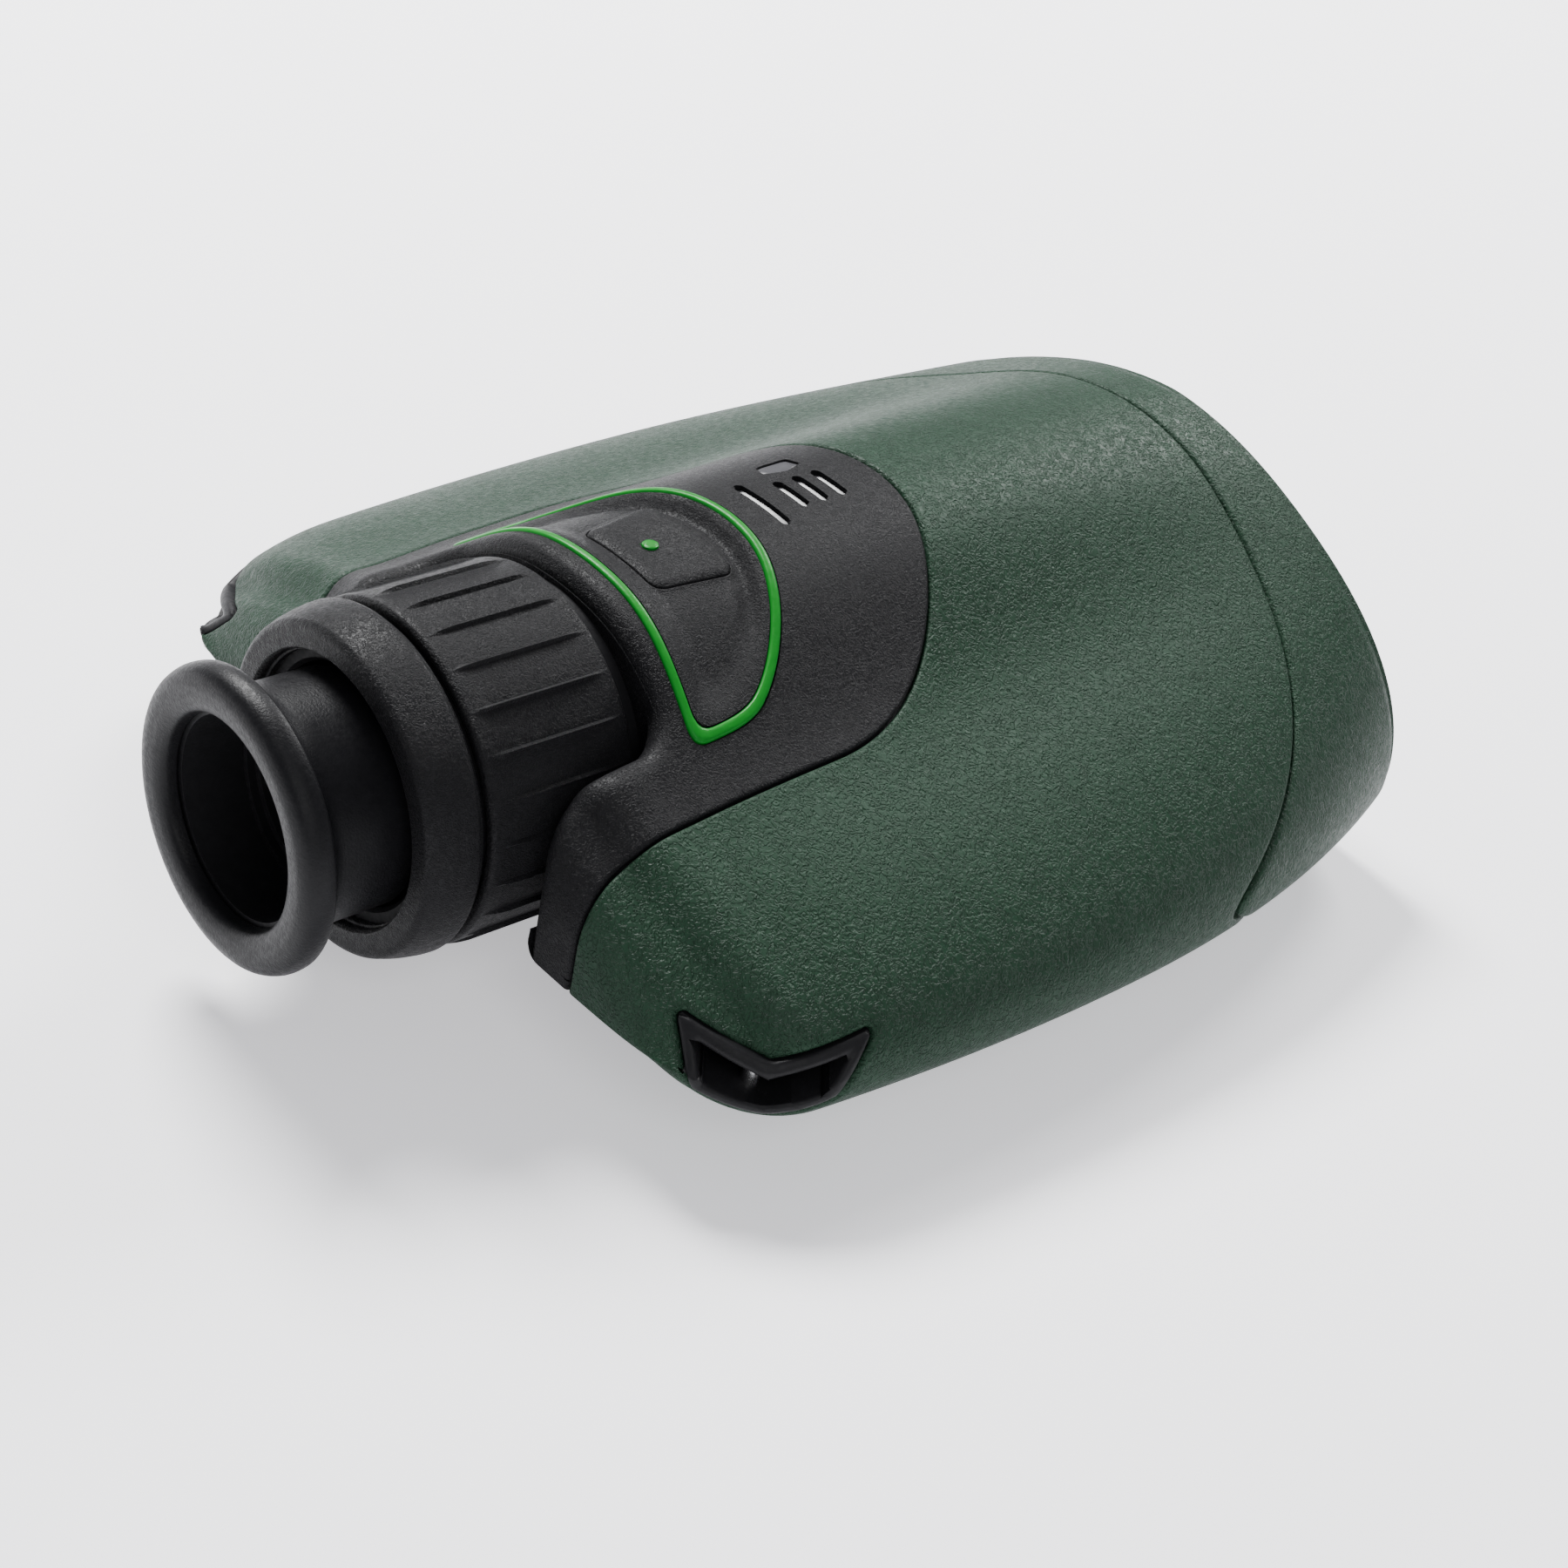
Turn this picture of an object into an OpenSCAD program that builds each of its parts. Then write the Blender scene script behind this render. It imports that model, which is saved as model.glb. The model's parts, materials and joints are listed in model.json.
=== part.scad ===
// Handheld laser rangefinder: wide arched body, eyepiece in a notch at the rear,
// objective, emitter window and battery cap at the front.
// X is the user's right, Y points at the target, Z is up.
// The origin is on the flat underside, below the optical axis, at mid body.

/* [Body] */
// Largest half width of the body
half_w_mid = 51.9; // [48:0.1:56]
// Half width at the rear end, before the corners are rounded
half_w_rear = 47.6; // [44:0.1:50]
// Half width at the front end
half_w_front = 42.3; // [38:0.1:44]
// Rear end of the body along Y
rear_y = -52.1; // [-54:0.1:-50]
// Front end of the body along Y
front_y = 54; // [52:0.1:58]
// Height of the optical axis above the underside
axis_z = 20; // [19.6:0.1:21]
// Thickness of the rubber armour
armour_t = 1.6; // [1.2:0.1:1.8]
// Thickness of the housing shells
shell_t = 1.5; // [1.2:0.1:1.8]

/* [Eyepiece] */
// Outer radius of the ribbed diopter ring
ring_r = 17.65; // [17.2:0.05:17.8]
// Number of grip ribs on the diopter ring
rib_count = 25; // [20:1:30]
// Outer radius of the eyecup rim
eyecup_r = 15; // [14:0.1:15.6]
// Radius of the eyecup's view hole
eye_hole_r = 10.3; // [9.98:0.01:10.6]
// Travel of the eyecup from out to in
eyecup_travel = 7.5; // [4:0.1:7.5]

/* [Controls] */
// Half width of the black top plate
plate_w = 25.5; // [24:0.1:27]
// Press travel of the measuring button
button_travel = 0.6; // [0.3:0.1:0.8]
// Radial gap of the running fits
fit_gap = 0.05; // [0.02:0.01:0.1]
// Gap between neighbouring outer pieces
seam_gap = 0.2; // [0.1:0.05:0.3]

/* [Optics and battery] */
// Clear radius of the objective
objective_r = 15; // [13:0.1:15]
// Sideways place of the emitter lens
emitter_x = 27; // [26:0.1:28]
// Radius of the emitter lens
emitter_r = 7.5; // [6:0.1:7.8]
// Radius of the battery cell
cell_r = 7.75; // [7.5:0.05:7.8]

/* [Hidden] */
$fn = 64;

armour_green = [0.20, 0.30, 0.24];
plate_black = [0.13, 0.13, 0.14];
accent_green = [0.10, 0.62, 0.16];
glass_tint = [0.55, 0.70, 0.78, 0.6];
metal_grey = [0.62, 0.62, 0.64];
eps = 0.01;

// Body surface: a superelliptic arch with a raised hump over the optics
edge_z = 11;            // height of the widest line
belly_depth = 11.4;     // depth of the belly below that line, cut flat at z = 0
arch_exp = 1.6;
belly_exp = 4;
wide_at = 0.47;         // where the body is widest, from 0 at the rear to 1 at the front
arch_rear = 17.2;       // arch height above edge_z
arch_mid = 20.7;
arch_front = 28.2;
hump_rear = 8.2;
hump_mid = 8.2;
hump_front = 0.6;
hump_r = 18.6;
hump_exp = 3.3;
rear_top_r = 5.5;
rear_side_r = 12;        // plan radius of the rear corners at the widest line
rear_high_r = 28;        // the same radius higher up the arch
rear_belly_r = 23;
belly_least = 1.2;      // depth of the belly left at the very rear
front_edge_r = 3.5;
end_steps = 4;
mid_steps = 9;
arch_steps = 18;
belly_steps = 4;         // on each side of the flat underside

split_y = 20;           // where the two housing shells meet
skin_inner = armour_t + 0.1;
shell_inner = skin_inner + shell_t;

// Eyepiece stations along Y
ring_rear = -56.2;
ring_front = -39.3;
collar_rear = -62.7;
collar_front = -57;
eyecup_rear = -74.4;
notch_y = -37.2;
notch_w = 19;
skirt_r = 15.6;
barrel_r = 9.9;
sleeve_r = barrel_r + fit_gap;
cup_r = 10.95;

// Inner supports
prism_y = -22;
switch_z = 32.2;
board_z = 4.7;
board_top = board_z + 1.2;
board_holes = [for (x = [-32, 32]) for (y = [-22, 8]) [x, y]];

// Plate, inlay and button outlines in plan
plate_turn_y = -21.4;
plate_arc = 24.8;
inlay_w = 1.1;
inlay_base_y = -33.9;
inlay_rx = 19.6;
inlay_ry = 17.1;
button_rear_y = -30.6;
button_front_y = -21;
button_rear_w = 6.2;
button_front_w = 7.1;
dish_depth = 0.9;
button_base = axis_z + 15.4;
arm_wall_y = -50.2;      // inner face of the arms' rear walls

// Front seam in plan
seam_y = -5.6;
seam_rx = 53.6;
seam_ry = 49.4;
seam_exp = 2.6;

// Lanyard corners
lanyard_x = 45.6;
lanyard_y = -44.8;
lanyard_turn = 42;
pocket_depth = 9;
pin_x = 43.1;
pin_y = -44.4;
pin_r = 0.9;
pin_base = 8.2;

// Front fittings
panel_y = 50;
panel_t = 1.9;
battery_x = -27;
battery_z = 16;
emitter_z = 17;
battery_back = 13;

flat_from = asin(edge_z / belly_depth);    // where the belly reaches the flat underside

function span(y) = (y - rear_y) / (front_y - rear_y);
function blend3(a, m, b, s) = a * (1 - s) * (1 - 2 * s) + 4 * m * s * (1 - s) + b * s * (2 * s - 1);
function half_width(y) = let (s = span(y))
    s < wide_at ? half_w_mid - (half_w_mid - half_w_rear) * pow((wide_at - s) / wide_at, 2)
                : half_w_mid - (half_w_mid - half_w_front) * pow((s - wide_at) / (1 - wide_at), 2.2);
function arch_h(y) = blend3(arch_rear, arch_mid, arch_front, span(y));
function hump_h(y) = blend3(hump_rear, hump_mid, hump_front, span(y));
// Pull-in of a rounded end of radius r at distance d from that end
function pull_in(d, r) = d >= r ? 0 : r - sqrt(max(0, r * r - (r - d) * (r - d)));
function ends(y, off, r) = pull_in(y - rear_y - off, r) + pull_in(front_y - off - y, front_edge_r);
function mix(a, b, t) = a + (b - a) * t;
function side_pull(y, off, t) = off + ends(y, off, mix(rear_side_r, rear_high_r, t));
function top_pull(y, off) = off + ends(y, off, rear_top_r);
function belly_h(y, off, t) = max(belly_least - off / 4,
    belly_depth - off - ends(y, off, mix(rear_side_r, rear_belly_r, t)));

function arch_point(y, off, a) = let (
    u = pow(abs(cos(a)), 2 / arch_exp), v = sin(a), x = (half_width(y) - side_pull(y, off, pow(v, 0.6))) * u)
    [sign(cos(a)) * x, edge_z + (arch_h(y) - top_pull(y, off)) * v
        + hump_h(y) * exp(-pow(x / hump_r, hump_exp)) * min(1, v * 3)];
function belly_point(y, off, a) = let (
    u = pow(abs(cos(a)), 2 / belly_exp), x = (half_width(y) - side_pull(y, off, 0)) * u)
    [sign(cos(a)) * x, max(off, edge_z - belly_h(y, off, pow(sin(a), 2)) * abs(sin(a)))];
function section(y, off) = concat(
    [for (i = [0 : arch_steps - 1]) arch_point(y, off, 180 * i / arch_steps)],
    [for (i = [0 : belly_steps]) belly_point(y, off, 180 + flat_from * i / belly_steps)],
    [for (i = [belly_steps : -1 : 1]) belly_point(y, off, 360 - flat_from * i / belly_steps)]);
function stations(off) = let (r = rear_side_r, f = front_edge_r, y0 = rear_y + off, y1 = front_y - off)
    concat([for (i = [0 : end_steps]) y0 + r * (1 - cos(90 * i / end_steps))],
        [for (i = [1 : mid_steps - 1]) y0 + r + (y1 - f - y0 - r) * i / mid_steps],
        [for (i = [0 : end_steps - 2]) y1 - f + f * sin(90 * i / (end_steps - 2))]);

// The body's solid, pulled in by off on every side
module body_solid(off) {
    rows = stations(off);
    n = arch_steps + 2 * belly_steps + 1;
    points = [for (y = rows) for (p = section(y, off)) [p[0], y, p[1]]];
    last = (len(rows) - 1) * n;
    faces = concat(
        [[for (i = [n - 1 : -1 : 0]) i]],
        [for (j = [0 : len(rows) - 2]) for (i = [0 : n - 1]) let (a = j * n + i, b = j * n + (i + 1) % n)
            each [[a, b, b + n], [a, b + n, a + n]]],
        [[for (i = [0 : n - 1]) last + i]]);
    polyhedron(points, faces, convexity = 6);
}

// Plan outlines, extruded upward from z
module plate_prism(grow, z = 0) {
    arc = [for (a = [0 : 7.5 : 180]) [(plate_w + grow) * cos(a), plate_turn_y + (plate_arc + grow) * sin(a)]];
    translate([0, 0, z]) linear_extrude(60)
        polygon(concat(arc, [[-plate_w - grow, notch_y + 1], [plate_w + grow, notch_y + 1]]));
}
module inlay_prism(grow) {
    arc = [for (a = [0 : 6 : 180]) [(inlay_rx + grow) * cos(a), inlay_base_y + (inlay_ry + grow) * sin(a)]];
    base = [for (t = [-1 : 0.25 : 1]) [(inlay_rx + grow) * t, inlay_base_y - grow - 1.3 * t * t]];
    translate([0, 0, axis_z]) linear_extrude(30) polygon(concat(arc, base));
}
module button_prism(grow) {
    r = 1.4 + grow;
    translate([0, 0, axis_z]) linear_extrude(30) hull()
        for (side = [-1, 1]) {
            translate([side * (button_rear_w - 1.4), button_rear_y + 1.4]) circle(r, $fn = 32);
            translate([side * (button_front_w - 1.4), button_front_y - 1.4]) circle(r, $fn = 32);
        }
}
module seam_prism(grow) {
    arc = [for (a = [0 : 6 : 180]) [
        (seam_rx + grow) * sign(cos(a)) * pow(abs(cos(a)), 2 / seam_exp),
        seam_y + (seam_ry + grow) * pow(sin(a), 2 / seam_exp)]];
    translate([0, 0, -5]) linear_extrude(60)
        polygon(concat([[80, seam_y]], arc, [[-80, seam_y], [-80, -90], [80, -90]]));
}
// The U-shaped notch that the eyepiece stands in
module notch(grow) {
    w = notch_w + grow;
    r = 4;
    translate([0, 0, -5]) linear_extrude(60)
        polygon([[w, -80], [w, notch_y + grow - r], [w - 0.3 * r, notch_y + grow - 0.3 * r],
            [w - r, notch_y + grow], [r - w, notch_y + grow], [0.3 * r - w, notch_y + grow - 0.3 * r],
            [-w, notch_y + grow - r], [-w, -80]]);
}
// The rear arms of the plate, full height on both sides of the notch
module arm_prism(grow) {
    translate([-plate_w - grow, -80, -5]) cube([2 * (plate_w + grow), 80 + notch_y + 1.9 + grow, 60]);
}
module plate_region(grow) {
    plate_prism(grow, 14);
    arm_prism(grow);
}
// Everything behind y between the outsides of the arms
module arm_end(y) {
    translate([-plate_w - 0.1, y - 30, -5]) cube([2 * plate_w + 0.2, 30, 60]);
}
// Chevron-shaped lanyard recess round a rear corner, side is 1 on the right and -1 on the left
module lanyard_prism(side, grow, depth) {
    tip = 8.7 + grow;
    low = 6.9 + grow;
    turn = side > 0 ? -lanyard_turn : 180 + lanyard_turn;
    translate([side * lanyard_x, lanyard_y, 0]) rotate([0, 0, turn]) rotate([90, 0, 90])
        translate([0, 0, -depth]) linear_extrude(depth + 20)
            polygon([[-tip, 15 + grow], [0, 14.2 + grow], [tip, 15 + grow], [low, 9.4 - grow / 2],
                [0, 7.4 - grow], [-low, 9.4 - grow / 2]]);
}
// A ring about the optical axis from y0 to y1
module tube_y(r_out, r_in, y0, y1, x = 0, z = axis_z) {
    translate([x, y1, z]) rotate([90, 0, 0]) difference() {
        cylinder(r = r_out, h = y1 - y0);
        if (r_in > 0) translate([0, 0, -1]) cylinder(r = r_in, h = y1 - y0 + 2);
    }
}
module rod_y(r, y0, y1, x = 0, z = axis_z) { tube_y(r, 0, y0, y1, x, z); }
// A turned part about the optical axis from [radius, y] points
module turned(points, x = 0, z = axis_z) {
    translate([x, 0, z]) rotate([-90, 0, 0]) rotate_extrude($fn = 96) polygon(points);
}
// A lens about Y: bulge_a towards the rear, bulge_b towards the front
module lens(r, y0, y1, bulge_a, bulge_b, x = 0, z = axis_z) {
    steps = 8;
    turned(concat(
        [for (i = [0 : steps]) [r * i / steps, y0 - bulge_a * (1 - pow(i / steps, 2))]],
        [for (i = [steps : -1 : 0]) [r * i / steps, y1 + bulge_b * (1 - pow(i / steps, 2))]]), x, z);
}

// Rubber armour behind the front seam
module armour_main() {
    color(armour_green) difference() {
        intersection() { body_solid(0); seam_prism(-seam_gap / 2); }
        difference() {
            body_solid(armour_t);
            translate([-80, rear_y + armour_t + 0.05 - 30, -5]) cube([160, 30, 60]);
        }
        plate_region(seam_gap);
        for (side = [-1, 1]) lanyard_prism(side, seam_gap, 12);
        screw_holes(2.1);
    }
}

// Rubber armour ahead of the front seam, with the window opening
module armour_front() {
    color(armour_green) difference() {
        body_solid(0);
        seam_prism(seam_gap / 2);
        body_solid(armour_t);
        window_prism(3.4, front_y + 1);
    }
}
module window_prism(off, y1) {
    translate([0, y1, 0]) rotate([90, 0, 0]) linear_extrude(12) polygon(section(front_y - 6, off));
}

// The housing's rear and front shells, which meet at split_y
module housing(rear) {
    difference() {
        intersection() {
            body_solid(skin_inner);
            translate([-80, rear ? split_y - 120.1 : split_y + 0.1, -10]) cube([160, 120, 80]);
        }
        difference() {
            body_solid(shell_inner);
            if (rear) notch(3.4);
        }
        if (rear) {
            notch(1.9);
            arm_end(arm_wall_y + 0.1);
            for (side = [-1, 1]) lanyard_prism(side, 0.15, pocket_depth + 0.2);
            button_prism(0.3);
            rod_y(15.6, notch_y - 1, notch_y + 6);
        } else window_prism(3.5, front_y + 1);
        screw_holes(1.1);
    }
}
module housing_rear() {
    color(plate_black) {
        housing(true);
        for (p = board_holes) translate([p[0], p[1], shell_inner - 0.5]) cylinder(r = 2, h = board_z - shell_inner + 0.5);
    }
}
module housing_front() { color(plate_black) housing(false); }

// Black saddle over the eyepiece, with an arm down each side of the notch
module top_plate() {
    color(plate_black) difference() {
        intersection() { body_solid(0); plate_region(0); }
        notch(0);
        difference() {
            body_solid(armour_t);
            notch(1.8);
            arm_end(arm_wall_y);
        }
        rod_y(15.55, notch_y - 1, notch_y + 6);
        button_prism(0.2);
        difference() {
            inlay_prism(inlay_w / 2 + 0.05);
            inlay_prism(-inlay_w / 2 - 0.05);
            body_solid(0.9);
        }
        tick_slots();
    }
}
// Raised-edge slots that let a finger find the button
module tick_slots() {
    slot_w = 0.8;
    for (slot = [[-12.1, 4.3], [-8.1, 2.6], [-5.6, 2.6], [-3.1, 2.6]])
        translate([0, slot[0], 0]) difference() {
            translate([-slot[1], -slot_w / 2, axis_z]) cube([2 * slot[1], slot_w, 30]);
            body_solid(0.5);
        }
}

// Green loop set into the plate round the measuring button
module accent_inlay() {
    color(accent_green) difference() {
        intersection() { body_solid(0); inlay_prism(inlay_w / 2); }
        inlay_prism(-inlay_w / 2);
        body_solid(0.85);
    }
}

module measuring_button() {
    color(plate_black) difference() {
        intersection() { body_solid(dish_depth); button_prism(0); }
        translate([-10, button_rear_y - 5, 0]) cube([20, 20, button_base]);
        dot_bore(0.85);
    }
}
module dot_bore(r) {
    translate([0, (button_rear_y + button_front_y) / 2 - 0.6, axis_z + 15]) cylinder(r = r, h = 20, $fn = 48);
}
// Green dot moulded into the middle of the button
module button_dot() {
    color(accent_green) intersection() {
        body_solid(dish_depth - 0.06);
        translate([0, 0, 0.6]) dot_bore(0.8);
    }
}
module button_switch() {
    y = (button_rear_y + button_front_y) / 2;
    color(metal_grey) translate([0, y, 0]) {
        translate([-3, -3, switch_z]) cube([6, prism_y - y + 3, 1.4]);
        translate([0, 0, switch_z + 1.4 - eps])
            cylinder(r = 1.6, h = button_base - button_travel - 0.05 - switch_z - 1.4);
    }
}

// Flange that carries the eyepiece on the notch wall
module eyepiece_mount() {
    color(plate_black) turned([[barrel_r + 0.02, -43], [15.45, -43], [15.45, -32.2],
        [barrel_r + 0.02, -32.2]]);
}
module eyepiece_barrel() {
    color(plate_black) turned([[9.2, -65.4], [barrel_r, -65.4], [barrel_r, -30], [8.6, -30], [8.6, -43.2],
        [9.2, -43.2]]);
}
// Bevelled collar round the eyecup's neck, with the skirt that the diopter ring turns on
module eyepiece_collar() {
    color(plate_black) turned([[13.6, collar_rear + 0.4], [13.9, collar_rear], [16, collar_rear],
        [16.5, collar_rear + 0.35], [17.1, -60.6], [17.45, -58.6], [17.5, -57.6], [17.1, collar_front],
        [16.2, collar_front], [16.2, -56.5], [skirt_r, -56.5], [skirt_r, -43], [14.6, -43], [14.6, -57.6],
        [12.3, -57.6], [12.3, -58.6], [13.6, -59.6]]);
}
module eyecup_seal() {
    color(plate_black) turned([[12.1, -60.2], [12.5, -60.7], [13.5, -60.7], [13.5, -59.75], [12.4, -58.9],
        [12.1, -58.9]]);
}

// Ribbed ring that turns on the collar's skirt
module diopter_ring() {
    rib_l = 13.6;
    color(plate_black) {
        turned([[skirt_r + fit_gap, ring_rear + 0.5], [16.6, ring_rear], [ring_r - 0.4, ring_rear],
            [ring_r, ring_rear + 0.5], [ring_r + 0.15, ring_front - 0.6], [ring_r - 0.3, ring_front],
            [skirt_r + fit_gap, ring_front]]);
        for (i = [0 : rib_count - 1])
            translate([0, 0, axis_z]) rotate([0, 360 * i / rib_count, 0])
                translate([-0.4, (ring_rear + ring_front - rib_l) / 2 + 0.2, ring_r - 0.5])
                    cube([0.8, rib_l, 0.85]);
    }
}

// Sliding sleeve that carries the rubber cup
module eyecup_sleeve() {
    front = -46.7 - eyecup_travel;
    color(plate_black) turned([[sleeve_r, -72], [cup_r, -72], [cup_r, front], [sleeve_r, front]]);
}
// Rubber cup with a flared rim
module eyecup() {
    neck_r = 11.75;
    flare = [for (a = [0 : 10 : 80]) [neck_r + 2.6 * (1 - cos(a)), -68.4 - 2.6 * sin(a)]];
    rim = [for (a = [0 : 15 : 180]) [eyecup_r - 1.45 + 1.45 * sin(a), -72.15 - 1.45 * (1 - cos(a)) / 1.4]];
    color(plate_black) turned(concat(
        [[cup_r + fit_gap, -60.4], [neck_r, -60.4]], flare, rim,
        [[12.4, eyecup_rear + 0.1], [eye_hole_r + 0.5, eyecup_rear + 0.35], [eye_hole_r, eyecup_rear + 0.9],
            [eye_hole_r, -72.3], [cup_r + fit_gap, -72.3]]));
}

module eye_lens() { color(glass_tint) lens(9.15, -63, -59.6, 0.9, 1.4); }
module field_lens() { color(glass_tint) lens(9.15, -45.25, -43.25, 1.5, 0.4); }
module lens_spacer() { color(plate_black) tube_y(9.18, 8.5, -59.4, -45.48); }
module lens_retainer() { color(plate_black) tube_y(9.18, 8.3, -64.6, -63.18); }

// Cradle and the two blocks of the erecting prism
module prism_frame() {
    color(metal_grey) {
        difference() {
            translate([-12, prism_y, board_top]) cube([24, 27.4, 31.4 - board_top]);
            translate([-10, prism_y - 1, 9.4]) cube([20, 40, 21.3]);
        }
        translate([-3, prism_y, 31]) cube([6, 2, switch_z + 1.4 - 31]);
    }
}
module prism_front() {
    color(glass_tint) translate([-9.6, 0, axis_z]) rotate([90, 0, 90]) linear_extrude(19.2)
        polygon([[4.8, -10.2], [4.8, 10.6], [-3.5, 10.6], [-8.8, 2]]);
}
module prism_rear() {
    color(glass_tint) translate([-9.6, 0, axis_z]) rotate([90, 0, 90]) linear_extrude(19.2)
        polygon([[-9.3, 1.6], [-20.8, 1.6 + 8.6], [-20.8, -10.2], [3, -10.2]]);
}
module display_module() {
    color("seagreen") {
        difference() {
            translate([-11, prism_y - 1, 8.4]) cube([22, 1, 23.5]);
            rod_y(7, prism_y - 2, prism_y + 1);
        }
    }
}

// Objective
module objective_cell() {
    color(plate_black) turned([[objective_r + 0.1, panel_y], [16.2, panel_y], [16.2, 24], [11, 14], [9.8, 14], [9.8, 15],
        [13.8, 25.2], [13.8, 42], [objective_r + 0.1, 42]]);
}
module objective_lens() { color(glass_tint) lens(objective_r, 42.25, 45.2, 1.4, 1.9); }
module objective_retainer() { color(plate_black) tube_y(objective_r + 0.05, 13.9, 45.52, 47.2); }

// Laser emitter
module emitter_tube() {
    color(metal_grey) turned([[emitter_r + 0.1, panel_y], [8.4, panel_y], [8.4, 44], [4.6, 20], [4.6, 17], [3.1, 17],
        [3.1, 20], [emitter_r - 0.7, 43], [emitter_r + 0.1, 44.4]], emitter_x, emitter_z);
}
module emitter_lens() { color(glass_tint) lens(emitter_r, 44.5, 46.4, 0.2, 0.9, emitter_x, emitter_z); }
module laser_diode() {
    color(metal_grey) {
        rod_y(2.9, 17 - eps, 19, emitter_x, emitter_z);
        rod_y(4.4, 15.6, 17, emitter_x, emitter_z);
    }
}
module receiver_module() {
    color(metal_grey) translate([12, -14, axis_z - 7]) cube([7, 12, 12]);
}

// Electronics
module main_board() {
    color("darkgreen") difference() {
        translate([-36, -26, board_z]) cube([72, 38, 1.2]);
        for (p = board_holes) translate([p[0], p[1], board_z - 1]) cylinder(r = 1.2, h = 3);
    }
}
module board_components() {
    color(plate_black) {
        translate([-31, -10, board_top]) cube([10, 10, 1.4]);
        translate([18, -20, board_top]) cube([8, 8, 1.6]);
        for (i = [0 : 4]) translate([-32 + 4 * i, 4, board_top]) cube([2.2, 3.4, 1.1]);
        translate([24, 0, board_top]) cylinder(r = 2.6, h = 4.4);
        translate([31, 0, board_top]) cylinder(r = 2.6, h = 4.4);
    }
}

// Battery compartment
module battery_tube() {
    color(plate_black) turned([[8.1, panel_y], [9.1, panel_y], [9.1, battery_back], [0, battery_back],
        [0, battery_back + 1.2], [8.1, battery_back + 1.2]], battery_x, battery_z);
}
module battery_cell() {
    color("gainsboro") {
        rod_y(cell_r, 18, 44.4, battery_x, battery_z);
        rod_y(3.1, 44.4 - eps, 45.4, battery_x, battery_z);
    }
}
module battery_spring() {
    color(metal_grey) turned([[0, 14.4], [5.5, 14.4], [5.5, 14.9], [2.6, 17.8], [0, 17.8], [0, 17.3], [2.3, 17.3],
        [4.6, 14.9], [0, 14.9]], battery_x, battery_z);
}
module battery_cap() {
    color(plate_black) difference() {
        turned([[0, 45.7], [7.6, 45.7], [7.6, 46.6], [7.2, 46.6], [7.2, 48.2], [7.6, 48.2], [7.6, 50.1],
            [9.4, 50.1], [9.4, 51.9], [9, 52.4], [0, 52.4]], battery_x, battery_z);
        translate([battery_x - 6, 51.5, battery_z - 0.8]) cube([12, 3, 1.6]);
    }
}
module battery_seal() {
    color("black") turned([[7.22, 46.75], [8.05, 46.75], [8.05, 48.05], [7.22, 48.05]], battery_x, battery_z);
}

// Recessed black front panel with its three round openings
module front_panel() {
    color(plate_black) difference() {
        translate([0, panel_y + panel_t, 0]) rotate([90, 0, 0]) linear_extrude(panel_t)
            polygon(section(front_y - 6, 3.8));
        rod_y(14.4, 40, 60);
        rod_y(emitter_r, 40, 60, emitter_x, emitter_z);
        rod_y(9.75, 40, 60, battery_x, battery_z);
    }
}

// Lanyard recess liners and their steel pins
module lanyard_frame(side) {
    color(plate_black) difference() {
        intersection() {
            body_solid(0);
            lanyard_prism(side, 0, pocket_depth);
        }
        lanyard_prism(side, -1.2, pocket_depth - 1.4);
        translate([side * pin_x, pin_y, pin_base]) cylinder(r = pin_r, h = 20);
    }
}
module lanyard_pin(side) {
    color("silver") translate([side * pin_x, pin_y, pin_base]) cylinder(r = pin_r, h = 5.4);
}
module lanyard_frame_right() { lanyard_frame(1); }
module lanyard_frame_left() { lanyard_frame(-1); }
module lanyard_pin_right() { lanyard_pin(1); }
module lanyard_pin_left() { lanyard_pin(-1); }

// Six screws that hold the lower shell from below
// Each place is [x, y, how far the head sits above the lowest one's seat]
screw_places = [for (p = [[36, -28, 0.7], [41, 6, 1.5], [30, 34, 0.2]]) for (s = [-1, 1]) [s * p[0], p[1], p[2]]];
module screw_holes(r) {
    for (p = screw_places) translate([p[0], p[1], -1]) cylinder(r = r, h = 12);
}
module case_screws() {
    color(metal_grey) for (p = screw_places) translate(p) difference() {
        union() {
            translate([0, 0, 0.9]) cylinder(r = 1.9, h = skin_inner - 0.9);
            translate([0, 0, skin_inner - eps]) cylinder(r = 1, h = 4.5);
        }
        translate([0, 0, 0.8]) cylinder(r = 0.9, h = 0.5, $fn = 6);
    }
}

armour_main();
armour_front();
housing_rear();
housing_front();
top_plate();
accent_inlay();
measuring_button();
button_dot();
button_switch();
eyepiece_mount();
eyepiece_barrel();
eyepiece_collar();
diopter_ring();
eyecup_sleeve();
eyecup();
eyecup_seal();
eye_lens();
field_lens();
lens_spacer();
lens_retainer();
prism_frame();
prism_front();
prism_rear();
display_module();
objective_cell();
objective_lens();
objective_retainer();
emitter_tube();
emitter_lens();
laser_diode();
receiver_module();
main_board();
board_components();
battery_tube();
battery_cell();
battery_spring();
battery_cap();
battery_seal();
front_panel();
lanyard_frame_right();
lanyard_frame_left();
lanyard_pin_right();
lanyard_pin_left();
case_screws();
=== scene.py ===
import json
import math

import bmesh
import bpy
import numpy as np
from mathutils import Matrix, Vector


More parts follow.
